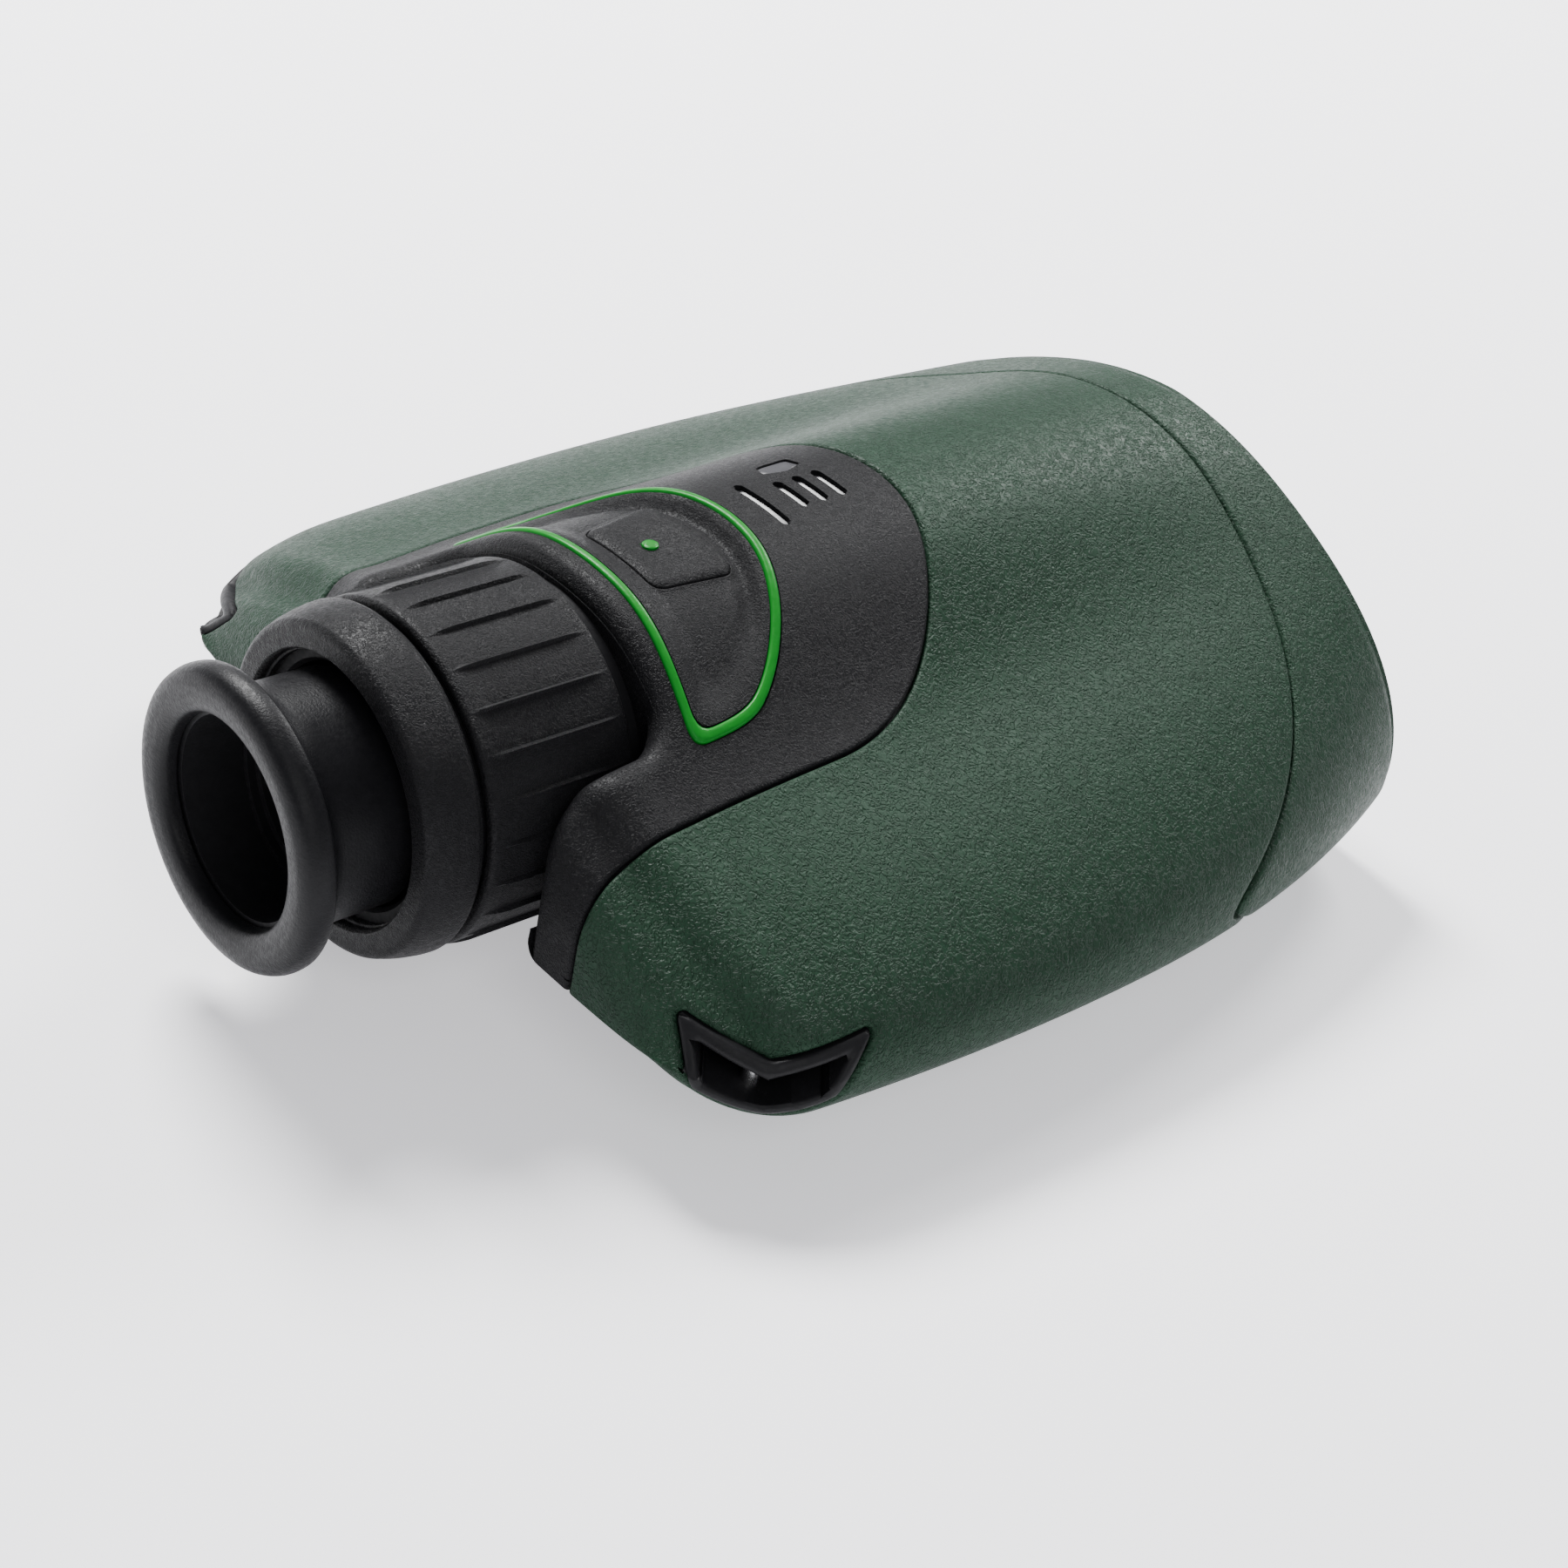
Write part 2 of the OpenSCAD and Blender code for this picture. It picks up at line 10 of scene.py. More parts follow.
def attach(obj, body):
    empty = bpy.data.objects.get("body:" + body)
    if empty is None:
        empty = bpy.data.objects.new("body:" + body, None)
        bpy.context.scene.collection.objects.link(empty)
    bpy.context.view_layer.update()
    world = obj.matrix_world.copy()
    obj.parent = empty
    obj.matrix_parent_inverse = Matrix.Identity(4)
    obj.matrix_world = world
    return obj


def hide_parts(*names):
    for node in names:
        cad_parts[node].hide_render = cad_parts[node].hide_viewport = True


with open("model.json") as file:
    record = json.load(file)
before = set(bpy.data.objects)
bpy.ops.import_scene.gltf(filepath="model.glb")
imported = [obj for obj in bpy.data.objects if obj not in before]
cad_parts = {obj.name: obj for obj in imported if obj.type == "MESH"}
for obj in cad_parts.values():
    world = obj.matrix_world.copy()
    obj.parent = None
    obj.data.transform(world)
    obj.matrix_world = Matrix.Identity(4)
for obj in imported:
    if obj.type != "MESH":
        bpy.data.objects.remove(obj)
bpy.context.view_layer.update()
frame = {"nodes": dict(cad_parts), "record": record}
MM = 0.001
FAR = 9.0          # outline fields stop growing here

# ---------------------------------------------------------------- body surface, in mm
REAR_Y, FRONT_Y, AXIS_Z, EDGE_Z = -52.1, 54.0, 20.0, 11.0
HALF_W, WIDE_AT = 51.9, 0.47
REAR_TAPER, FRONT_TAPER, FRONT_TAPER_EXP = 4.3, 9.6, 2.2
HUMP_H, ARCH_H = (8.2, 8.2, 0.6), (17.2, 20.7, 28.2)      # rear, middle, front
HUMP_R, HUMP_EXP, ARCH_EXP, BELLY_EXP = 18.6, 3.3, 1.6, 4.0
BELLY_LEAST, BELLY_DEPTH = 1.2, 11.4
REAR_R, SIDE_R_MORE, SIDE_R_EXP, BELLY_R_MORE = 12.0, 16.0, 0.6, 11.0
FRONT_R, TOP_R, FRONT_TURN = 3.5, 5.5, math.radians(42)
U_REAR, U_FRONT, U_LONG, U_NOSE = 0.2, 0.9, 0.7, 0.1
LIP_U = [1.0, 1.1, 1.2, 1.3, 1.4, 2.0]
LIP_Y = [52.84, 53.12, 53.22, 53.12, 52.85, 50.3]
LIP_PULL = [0.9, 1.08, 1.25, 1.42, 1.5, 1.5]


def blend3(a, m, b, s):
    """Curve through a, m and b at s = 0, 0.5 and 1."""
    return a * (1 - s) * (1 - 2 * s) + 4 * m * s * (1 - s) + b * s * (2 * s - 1)


def half_width(y):
    s = (y - REAR_Y) / (FRONT_Y - REAR_Y)
    rear = HALF_W - REAR_TAPER * (np.clip(WIDE_AT - s, 0, 1) / WIDE_AT) ** 2
    ahead = np.clip(s - WIDE_AT, 0, 1) / (1 - WIDE_AT)
    return np.where(s < WIDE_AT, rear, HALF_W - FRONT_TAPER * ahead ** FRONT_TAPER_EXP)


def rounded(d, r):
    """How far an edge rounded with radius r drops at distance d from its border."""
    d = np.clip(d, 0, r)
    return r - np.sqrt(np.maximum(0, r * r - (r - d) ** 2))


def section(y, a, front_pull, off=0.0):
    """Points of the body's cross-section at y, for angles a in radians."""
    s = (y - REAR_Y) / (FRONT_Y - REAR_Y)
    c, v = np.abs(np.cos(a)), np.sin(a)
    up = v >= 0
    v = np.abs(v)
    d = y - REAR_Y - off
    side_r = np.where(up, REAR_R + SIDE_R_MORE * v ** SIDE_R_EXP, REAR_R)
    side = off + rounded(d, side_r) + front_pull
    x = np.maximum(half_width(y) - side, 0) * c ** (2 / np.where(up, ARCH_EXP, BELLY_EXP))
    hump = blend3(*HUMP_H, s) * np.exp(-(x / HUMP_R) ** HUMP_EXP) * np.minimum(1, 3 * v)
    arch = blend3(*ARCH_H, s) - off - rounded(d, TOP_R) - front_pull
    belly_r = REAR_R + BELLY_R_MORE * v ** 2
    belly = np.maximum(BELLY_LEAST - off / 4, BELLY_DEPTH - off - front_pull - rounded(d, belly_r))
    z = np.where(up, EDGE_Z + arch * v + hump, np.maximum(off, EDGE_Z - belly * v))
    return np.sign(np.cos(a)) * x, z


def body(uv):
    """Body surface: u is below 0 on the rear cap, 0 to 1 on the body, above 1 on the front lip."""
    u, a = uv[:, 0], uv[:, 1]
    turn = np.clip((u - U_FRONT) / U_NOSE, 0, 1) * FRONT_TURN
    rear = REAR_Y + REAR_R * (1 - np.cos(np.clip(u, 0, U_REAR) / U_REAR * math.pi / 2))
    along = (np.clip(u, U_REAR, U_FRONT) - U_REAR) / U_LONG
    y = np.where(u < U_REAR, rear, REAR_Y + REAR_R + along * (FRONT_Y - FRONT_R - REAR_Y - REAR_R))
    y = y + FRONT_R * np.sin(turn)
    pull = FRONT_R * (1 - np.cos(turn))
    y = np.where(u > 1, np.interp(u, LIP_U, LIP_Y), y)
    pull = np.where(u > 1, np.interp(u, LIP_U, LIP_PULL), pull)
    x, z = section(np.where(u > 1, LIP_Y[0], y), a, pull)
    k = np.clip(1 + u, 0, 1)
    return np.stack([x * k, y, EDGE_Z + (z - EDGE_Z) * k], 1)


def surface_z(x, y, off, up):
    """Height of the surface above or below a point in plan, found by halving the angle."""
    none = np.zeros(x.shape)
    lo, hi = none, np.full(x.shape, math.pi / 2)
    for _ in range(40):
        a = (lo + hi) / 2
        sx, z = section(y, a if up else -a, none, off)
        wide = sx > np.abs(x)
        lo, hi = np.where(wide, a, lo), np.where(wide, hi, a)
    return z


# ---------------------------------------------------------------- outlines, positive inside
PLATE_W, PLATE_LONG, PLATE_MID, ARM_WALL = 25.5, 24.8, -21.4, 1.9
NOTCH_Y, NOTCH_W, NOTCH_R = -37.2, 19.0, 4.0
SEAM = (53.6, 49.4, -5.6, 2.6)
INLAY_BASE, INLAY_SAG, INLAY_W = -33.9, 1.3, 19.6
BUTTON, BUTTON_R = [(-4.6, -28.9), (4.6, -28.9), (5.5, -22.6), (-5.5, -22.6)], 1.6
DOT_Y, DOT_R = -26.6, 0.9
LANYARD_TURN = math.radians(42)
LANYARD_X, LANYARD_Y, LANYARD_Z, LANYARD_R, LANYARD_DEEP = 45.6, -44.8, 11.2, 0.5, 12
CHEVRON = [(-9.1, 15.2), (0, 12.9), (9.1, 15.2), (6.9, 9.4), (0, 7.2), (-6.9, 9.4)]
SLOTS, SLOT_R = [(-12.1, 4.3), (-8.1, 2.7), (-5.5, 2.7), (-2.9, 2.7)], 0.6
MARKER, MARKER_R = [(-6.4, -7.2), (-4.9, -7.6), (-4.2, -5.2), (-4.9, -2.9), (-6.4, -3.3)], 0.2
SCREWS, SCREW_R = [(sx * x, y) for x, y in ((36, -28), (41, 6), (30, 34)) for sx in (-1, 1)], 2.1


def inside_poly(x, y, pts):
    """Distance to a polygon's border."""
    pts = np.array(pts, float)
    best, sign = np.full(x.shape, 1e9), np.ones(x.shape)
    for (ax, ay), (bx, by) in zip(pts, np.roll(pts, -1, 0)):
        ex, ey, wx, wy = bx - ax, by - ay, x - ax, y - ay
        h = np.clip((wx * ex + wy * ey) / (ex * ex + ey * ey), 0, 1)
        best = np.minimum(best, (wx - ex * h) ** 2 + (wy - ey * h) ** 2)
        c = np.stack([y >= ay, y < by, ex * wy > ey * wx])
        sign = np.where(c.all(0) | (~c).all(0), -sign, sign)
    return -sign * np.sqrt(best)


def oval(x, y, rx, ry, yc, n=2.0):
    """Straight sides up to yc, then the end of a superellipse."""
    t = np.maximum(y - yc, 0) / ry
    q = (np.abs(x) / rx) ** n + t ** n
    g = n * np.hypot((np.abs(x) / rx) ** (n - 1) / rx, t ** (n - 1) / ry) + 1e-6
    return np.where(y > yc, np.clip((1 - q) / g, -FAR, FAR), np.clip(rx - np.abs(x), -FAR, FAR))


def smooth_min(a, b, k):
    h = np.clip(k - np.abs(a - b), 0, k) / k
    return np.minimum(a, b) - h * h * k / 4


def on_top(p, field):
    return np.where(p[:, 2] > EDGE_Z, field, -FAR)


def f_plate(p):
    x, y, z = p.T
    low = np.minimum(PLATE_W - np.abs(x), NOTCH_Y + ARM_WALL - y)
    return np.where(z < EDGE_Z, low, oval(x, y, PLATE_W, PLATE_LONG, PLATE_MID))


def f_notch(p):
    qx, qy = np.abs(p[:, 0]) - NOTCH_W + NOTCH_R, -(NOTCH_Y - NOTCH_R - p[:, 1])
    corner = np.hypot(np.maximum(qx, 0), np.maximum(qy, 0))
    return corner + np.minimum(np.maximum(qx, qy), 0) - NOTCH_R


def f_seam(p):
    return oval(p[:, 0], p[:, 1], *SEAM)


def f_inlay(p):
    x, y = p[:, 0], p[:, 1]
    base = y - INLAY_BASE + INLAY_SAG * np.clip(x / INLAY_W, -1.1, 1.1) ** 2
    arc = smooth_min(oval(x, y, 20.5, 17.1, INLAY_BASE), 19.7 - np.abs(x), 1.2)
    return smooth_min(arc, base, 1.8)


def f_button(p):
    return inside_poly(p[:, 0], p[:, 1], BUTTON) + BUTTON_R


def f_dot(p):
    return on_top(p, DOT_R - np.hypot(p[:, 0], p[:, 1] - DOT_Y))


def f_slots(p):
    best = np.full(len(p), -FAR)
    for y, half in SLOTS:
        dx = np.maximum(np.abs(p[:, 0]) - half + SLOT_R, 0)
        best = np.maximum(best, SLOT_R - np.hypot(dx, p[:, 1] - y))
    return on_top(p, best)


def f_marker(p):
    return on_top(p, inside_poly(p[:, 0], p[:, 1], MARKER) + MARKER_R)


def f_screws(p):
    best = np.full(len(p), -FAR)
    for x, y in SCREWS:
        best = np.maximum(best, SCREW_R - np.hypot(p[:, 0] - x, p[:, 1] - y))
    return np.where(p[:, 2] < EDGE_Z, best, -FAR)


def lanyard_axes(side):
    """Plan directions out of the corner and along its face."""
    c, s = math.cos(LANYARD_TURN), math.sin(LANYARD_TURN)
    return np.array([side * c, -s]), np.array([s, side * c])


def chevron(wide, high):
    """The lanyard recess in the plane of its face, scaled about its middle."""
    return [(t * wide, LANYARD_Z + (z - LANYARD_Z) * high) for t, z in CHEVRON]


def f_lanyard(side):
    out, along = lanyard_axes(side)

    def field(p):
        q = p[:, :2] - np.array([side * LANYARD_X, LANYARD_Y])
        f = inside_poly(q @ along, p[:, 2], chevron(0.93, 0.87)) + LANYARD_R
        return np.where(q @ out > -LANYARD_DEEP, f, -FAR)
    return field


def outside(field):
    return lambda p: -field(p)


# ---------------------------------------------------------------- sheets cut along outlines
class Sheet:
    """A triangle sheet over a two-parameter surface, cut exactly along outlines."""

    def __init__(self, shape, us, vs):
        uu, vv = np.meshgrid(us, vs, indexing="ij")
        self.shape, self.uv = shape, np.stack([uu.ravel(), vv.ravel()], 1)
        n, m = len(us), len(vs)
        i = (np.arange(n - 1)[:, None] * m + np.arange(m - 1)).ravel()
        self.tri = np.concatenate([np.stack([i, i + m, i + m + 1], 1),
                                   np.stack([i, i + m + 1, i + 1], 1)])

    def copy(self):
        new = Sheet.__new__(Sheet)
        new.shape, new.uv, new.tri = self.shape, self.uv.copy(), self.tri.copy()
        return new

    def crossings(self, field, level, f, edges):
        """Where the field takes the level along each edge, by bounded false position."""
        p, q = self.uv[edges[:, 0]], self.uv[edges[:, 1]]
        fp, fq = f[edges[:, 0]].copy(), f[edges[:, 1]].copy()
        lo, hi = np.zeros(len(edges)), np.ones(len(edges))
        t = fp / (fp - fq)
        for _ in range(6):
            ft = field(self.shape(p + (q - p) * t[:, None])) - level
            same = (ft > 0) == (fp > 0)
            lo, fp = np.where(same, t, lo), np.where(same, ft, fp)
            hi, fq = np.where(same, hi, t), np.where(same, fq, ft)
            t = lo + (hi - lo) * np.clip(fp / (fp - fq + 1e-12), 0.02, 0.98)
        return p + (q - p) * t[:, None]

    def cut(self, field, levels=(0.0,), keep=True):
        """Split along every level. With keep, what is below the first level goes."""
        for number, level in enumerate(levels):
            f = field(self.shape(self.uv)) - level
            f = np.where(np.abs(f) < 1e-5, 1e-5, f)
            above = f > 0
            mixed = above[self.tri].any(1) & ~above[self.tri].all(1)
            whole, cut = self.tri[~mixed], self.tri[mixed]
            if len(cut):
                side = above[cut]
                lone = np.where(side.sum(1) == 1, side.argmax(1), (~side).argmax(1))
                rows = np.arange(len(cut))
                a, b, c = (cut[rows, (lone + k) % 3] for k in range(3))
                pairs = np.sort(np.concatenate([np.stack([a, b], 1), np.stack([a, c], 1)]), 1)
                edges, back = np.unique(pairs, axis=0, return_inverse=True)
                back = back.reshape(-1) + len(self.uv)
                self.uv = np.concatenate([self.uv, self.crossings(field, level, f, edges)])
                ab, ac = back[:len(cut)], back[len(cut):]
                self.tri = np.concatenate([whole] + [np.stack(t, 1) for t in
                                                     ([a, ab, ac], [ab, b, c], [ab, c, ac])])
            if keep and number == 0:
                mid = field(self.shape(self.uv[self.tri].mean(1))) - level
                self.tri = self.tri[mid > 0]
        return self

    def keep_near(self, field, level):
        """Drop the triangles well outside an outline, before the exact cut."""
        self.tri = self.tri[field(self.shape(self.uv[self.tri].mean(1))) > level]
        return self

    def points(self):
        """Positions and normals."""
        h = 1e-4
        du = self.shape(self.uv + [h, 0]) - self.shape(self.uv - [h, 0])
        dv = self.shape(self.uv + [0, h]) - self.shape(self.uv - [0, h])
        n = np.cross(du, dv)
        length = np.linalg.norm(n, axis=1, keepdims=True)
        return self.shape(self.uv), n / np.maximum(length, 1e-12)


def flipped(sheet, p, n):
    """Whether the triangles turn against the normals, judged on about 500 of them."""
    t = sheet.tri[:: max(1, len(sheet.tri) // 500)]
    g = np.cross(p[t[:, 1]] - p[t[:, 0]], p[t[:, 2]] - p[t[:, 0]])
    return (g * n[t[:, 0]]).sum() < 0


def shell(sheet, drop, thick, along=None):
    """Closed shell over a sheet: its outer side lies drop(p) deep, its inner side thick below that."""
    weld, sliver = 0.02, 0.004
    p, n = sheet.points()
    flip = flipped(sheet, p, n)
    out = p - n * drop(p)[:, None]
    back = n if along is None else along(p, n)
    bm = bmesh.new()
    layer = bm.verts.layers.float_vector.new("back")
    verts = {}
    for i in np.unique(sheet.tri):
        verts[i] = bm.verts.new(out[i])
        verts[i][layer] = Vector(back[i])
    for t in sheet.tri:
        t = t[::-1] if flip else t
        try:
            bm.faces.new([verts[t[0]], verts[t[1]], verts[t[2]]])
        except ValueError:
            pass      # the same triangle twice
    bmesh.ops.remove_doubles(bm, verts=bm.verts, dist=weld)
    bmesh.ops.dissolve_degenerate(bm, edges=bm.edges, dist=sliver)
    bmesh.ops.delete(bm, geom=[v for v in bm.verts if not v.link_faces], context="VERTS")
    bm.verts.index_update()
    pts = np.array([v.co for v in bm.verts])
    inner = pts - np.array([v[layer] for v in bm.verts]) * thick
    faces = [[v.index for v in f.verts] for f in bm.faces]
    rim = [(e.link_loops[0].vert.index, e.link_loops[0].link_loop_next.vert.index)
           for e in bm.edges if len(e.link_faces) == 1]
    bm.free()
    m = len(pts)
    faces += [[i + m for i in reversed(f)] for f in faces]
    faces += [[b, a, a + m, b + m] for a, b in rim]
    return np.concatenate([pts, inner]), faces


def join(*meshes):
    pts, faces, base = [], [], 0
    for p, f in meshes:
        pts.append(np.asarray(p, float))
        faces += [[i + base for i in q] for q in f]
        base += len(p)
    return np.concatenate(pts), faces


def make(name, mesh, mat, bodyname, stands_for=(), sharp=38):
    data = bpy.data.meshes.new(name)
    data.from_pydata((np.asarray(mesh[0]) * MM).tolist(), [], [list(map(int, f)) for f in mesh[1]])
    data.validate()
    data.polygons.foreach_set("use_smooth", [True] * len(data.polygons))
    data.set_sharp_from_angle(angle=math.radians(sharp))
    data.materials.append(mat)
    obj = bpy.data.objects.new(name, data)
    bpy.context.scene.collection.objects.link(obj)
    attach(obj, bodyname)
    if stands_for:
        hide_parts(*stands_for)


# ---------------------------------------------------------------- turned pieces
def filleted(points, radius=0.3, steps=4):
    """A closed outline with its corners rounded. A point may carry its own radius."""
    out, n = [], len(points)
    for i, pt in enumerate(points):
        p = np.array(pt[:2], float)
        r = pt[2] if len(pt) > 2 else radius
        a = np.array(points[i - 1][:2], float) - p
        b = np.array(points[(i + 1) % n][:2], float) - p
        la, lb = np.linalg.norm(a), np.linalg.norm(b)
        cut = min(r, 0.45 * la, 0.45 * lb)
        if cut < 0.01:
            out.append(p)
            continue
        s, e = p + a / la * cut, p + b / lb * cut
        for k in range(steps + 1):
            t = k / steps
            out.append((1 - t) ** 2 * s + 2 * t * (1 - t) * p + t * t * e)
    return np.array(out)


def turned(profile, count, swell=None):
    """A closed [radius, y] outline turned about the eyepiece's axis."""
    prof = np.asarray(profile, float)
    m = len(prof)
    ang = (np.arange(count) * 2 * math.pi / count)[:, None]
    r, y = np.tile(prof[:, 0], (count, 1)), np.tile(prof[:, 1], (count, 1))
    if swell is not None:
        r = r + swell(np.repeat(ang, m, 1), r, y)
    pts = np.stack([r * np.cos(ang), y, AXIS_Z + r * np.sin(ang)], 2).reshape(-1, 3)
    area = np.sum(prof[:, 0] * np.roll(prof[:, 1], -1) - np.roll(prof[:, 0], -1) * prof[:, 1])
    faces = []
    for i in range(count):
        here, there = i * m, ((i + 1) % count) * m
        for j in range(m):
            k = (j + 1) % m
            q = [here + j, here + k, there + k, there + j]
            faces.append(q if area > 0 else q[::-1])
    return pts, faces


# ---------------------------------------------------------------- materials
def material(name, base, rough, grain, bump, wear, metallic=0.0, coat=0.0, worms=0.0, ior=1.45,
             through=0.0, streak=None):
    """Procedural surface: mottled colour, uneven roughness and fine relief from noise textures.
    grain and worms are cells per metre, streak stretches the pattern along an axis."""
    mat = bpy.data.materials.new(name)
    mat.use_nodes = True
    tree = mat.node_tree
    shader = tree.nodes["Principled BSDF"]
    add, link = tree.nodes.new, tree.links.new
    source = add("ShaderNodeTexCoord").outputs["Object"]

    def node(kind, **values):
        made = add(kind)
        for key, value in values.items():
            made.inputs[key.replace("_", " ")].default_value = value
        return made

    def noise(scale, detail, roughness=0.5, distortion=0.0):
        made = node("ShaderNodeTexNoise", Scale=scale, Detail=detail, Roughness=roughness,
                    Distortion=distortion)
        link(source, made.inputs["Vector"])
        return made.outputs["Fac"]

    if streak:
        stretch = node("ShaderNodeMapping", Scale=streak)
        link(source, stretch.inputs["Vector"])
        source = stretch.outputs["Vector"]
    ramp = add("ShaderNodeValToRGB")
    dark, light = ramp.color_ramp.elements
    dark.position, light.position = 0.3, 0.72
    dark.color = (*[c * (1 - wear) for c in base], 1)
    light.color = (*[min(1, c * (1 + wear)) for c in base], 1)
    link(noise(grain * 0.22, 6, 0.6), ramp.inputs["Fac"])
    link(ramp.outputs["Color"], shader.inputs["Base Color"])
    spread = node("ShaderNodeMapRange", From_Min=0.3, From_Max=0.7, To_Min=max(0.02, rough - 0.08),
                  To_Max=min(1, rough + 0.08))
    link(noise(grain * 0.5, 3), spread.inputs["Value"])
    link(spread.outputs["Result"], shader.inputs["Roughness"])
    relief = node("ShaderNodeBump", Strength=bump, Distance=0.0001)
    link(noise(grain, 4, 0.55), relief.inputs["Height"])
    if worms:
        fold = node("ShaderNodeMapRange", From_Min=0.4, From_Max=0.58)
        fold.interpolation_type = "SMOOTHSTEP"
        link(noise(worms, 1.5, distortion=1.6), fold.inputs["Value"])
        veins = node("ShaderNodeBump", Strength=0.85, Distance=0.3 / worms)
        link(fold.outputs["Result"], veins.inputs["Height"])
        link(relief.outputs["Normal"], veins.inputs["Normal"])
        relief = veins
    link(relief.outputs["Normal"], shader.inputs["Normal"])
    shader.inputs["Metallic"].default_value = metallic
    shader.inputs["IOR"].default_value = ior
    shader.inputs["Specular IOR Level"].default_value = 0.5 if metallic or through else 0.14
    shader.inputs["Coat Weight"].default_value = coat
    shader.inputs["Coat Roughness"].default_value = 0.25
    shader.inputs["Transmission Weight"].default_value = through
    return mat


BLACK = (0.0075, 0.0075, 0.0085)
ARMOUR = material("armour_rubber", (0.013, 0.035, 0.020), 0.48, 2600, 0.35, 0.14, worms=1650)
PLATE = material("plate_rubber", BLACK, 0.50, 5200, 0.4, 0.12, worms=2900)
GRIP = material("grip_rubber", BLACK, 0.46, 4200, 0.45, 0.12, worms=3300)
CUP = material("cup_rubber", (0.0065, 0.0065, 0.0075), 0.42, 4200, 0.40, 0.12)
SHELL = material("shell_plastic", (0.009, 0.009, 0.010), 0.48, 3000, 0.3, 0.12)
SEAL = material("seal_rubber", (0.006, 0.006, 0.007), 0.62, 3400, 0.25, 0.14)
ACCENT = material("accent_green", (0.004, 0.17, 0.014), 0.36, 3600, 0.15, 0.08)
INSERT = material("slot_insert", (0.055, 0.055, 0.06), 0.34, 3600, 0.15, 0.10, coat=0.3)
METAL = material("turned_metal", (0.78, 0.78, 0.79), 0.24, 2500, 0.15, 0.06, metallic=1.0,
                 streak=(1, 1, 0.15))
LIGHT_METAL = material("anodised_metal", (0.30, 0.30, 0.31), 0.36, 3000, 0.15, 0.08, metallic=1.0)
GLASS = material("coated_glass", (0.82, 0.90, 0.93), 0.09, 900, 0.01, 0.03, coat=0.4, ior=1.52,
                 through=1.0)
BOARD = material("circuit_board", (0.012, 0.09, 0.04), 0.42, 2200, 0.2, 0.12, coat=0.2)
CELL = material("cell_wrap", (0.04, 0.07, 0.14), 0.33, 1500, 0.1, 0.10, coat=0.3)

BY_SLOT = {"armour": ARMOUR, "plate": PLATE, "grip_rubber": GRIP, "seal_rubber": SEAL,
           "shell": SHELL, "accent": ACCENT, "glass": GLASS, "light_metal": LIGHT_METAL,
           "metal": METAL, "board": BOARD, "cell_wrap": CELL}
slot_of = {row["node"]: row["material_slot"] for row in frame["record"]["subparts"]}
for name, obj in frame["nodes"].items():
    obj.data.materials.clear()
    obj.data.materials.append(BY_SLOT.get(slot_of.get(name), SHELL))

# ---------------------------------------------------------------- armour
ROUNDING = (0.0, 0.07, 0.18, 0.36, 0.6)      # where a rounded border is cut into strips
SEAM_GAP, PLATE_GAP, LANYARD_GAP, EDGE_R = 0.1, 0.2, 0.15, 0.45
FOLD_AT, FOLD_LONG = np.array([24.0, -47.8, 23.9]), 24
FOLD_ALONG, FOLD_ACROSS = np.array([0.885, 0.125, -0.447]), np.array([0.236, 0.707, 0.666])


def even_angles(count):
    """Angles that divide the middle cross-section into equal lengths."""
    angle = np.linspace(-math.pi / 2, 1.5 * math.pi, 4001)
    sx, sz = section(np.zeros(angle.shape), angle, np.zeros(angle.shape))
    length = np.concatenate([[0], np.cumsum(np.hypot(np.diff(sx), np.diff(sz)))])
    return np.interp(np.linspace(0, length[-1], count), length, angle)


def steps(start, scale=1.0):
    return tuple(start + s * scale for s in ROUNDING)


def rear_fold(p):
    """Crease along the rear edge, from the plate's arm to the lanyard recess, and a ridge ahead."""
    q = np.stack([np.abs(p[:, 0]), p[:, 1], p[:, 2]], 1) - FOLD_AT
    t, d = q @ FOLD_ALONG / FOLD_LONG, q @ FOLD_ACROSS
    fade = np.clip((t + 0.45) / 0.3, 0, 1) * np.clip((1.12 - t) / 0.3, 0, 1)
    return fade * (0.95 * np.exp(-(d / 2.0) ** 2) - 0.45 * np.exp(-((d - 3.6) / 2.3) ** 2))


def armour_drop(p):
    edges = np.minimum(f_seam(p) - SEAM_GAP, -f_plate(p) - PLATE_GAP)
    lanyard = -np.maximum(right(p), left(p)) - LANYARD_GAP
    return (rounded(edges, EDGE_R) + rounded(lanyard, 0.6) + rounded(-f_screws(p), 0.4)
            + rear_fold(p))


rows = np.concatenate([np.linspace(-0.55, 0, 16)[:-1], np.linspace(0, U_REAR, 22)[:-1],
                       np.linspace(U_REAR, U_FRONT, 101)[:-1], np.linspace(U_FRONT, 1, 9)[:-1],
                       [1, 1.05, 1.1, 1.15, 1.2, 1.25, 1.3, 1.35, 1.4, 1.7, 2.0]])
whole = Sheet(body, rows, even_angles(331))
right, left = f_lanyard(1), f_lanyard(-1)

main = whole.copy()
main.cut(f_seam, steps(SEAM_GAP)).cut(outside(f_plate), steps(PLATE_GAP))
for corner in (right, left):
    main.cut(outside(corner), steps(LANYARD_GAP))
main.cut(outside(f_screws), steps(0.0, 0.7))
make("armour_shell", shell(main, armour_drop, 1.35), ARMOUR, "housing", ["armour_main"])

front = whole.copy()
front.cut(outside(f_seam), steps(SEAM_GAP))
make("armour_nose", shell(front, lambda p: rounded(-f_seam(p) - SEAM_GAP, EDGE_R), 1.2),
     ARMOUR, "housing", ["armour_front"])

